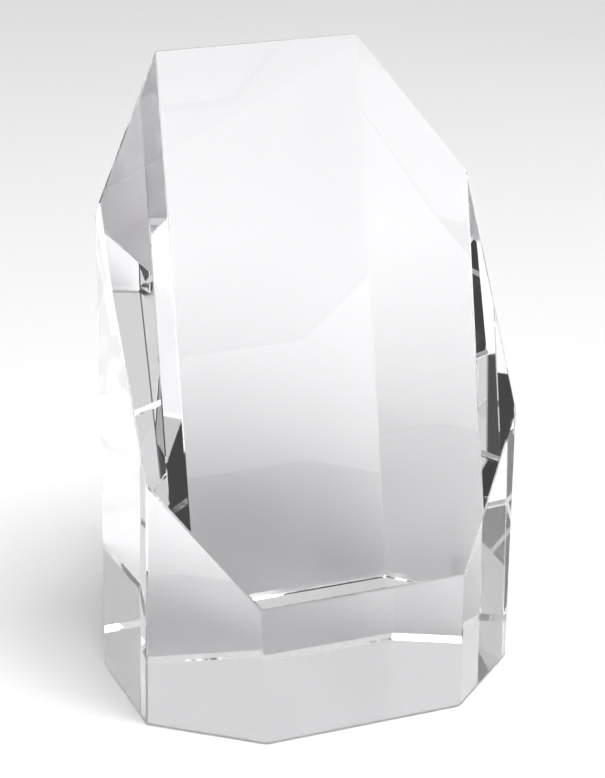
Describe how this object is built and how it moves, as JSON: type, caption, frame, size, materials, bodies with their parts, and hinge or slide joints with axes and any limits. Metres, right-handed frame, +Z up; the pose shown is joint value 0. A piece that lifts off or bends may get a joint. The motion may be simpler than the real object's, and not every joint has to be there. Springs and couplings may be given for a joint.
{
  "type": "crystal award",
  "caption": "Free-standing solid crystal award: an eight-sided column cut across by one large leaning face above a low front facet.",
  "frame": {"origin": "centre of the flat underside, which the award stands on", "axes": "+Z up, -Y towards the low front facet, +Y towards the tall back facet, +X to the right seen from the front"},
  "size_m": [0.0966, 0.071, 0.152],
  "materials": {
    "crystal": "polished clear optical crystal"
  },
  "bodies": {
    "root": {"crystal_block": "crystal"}
  },
  "joints": []
}
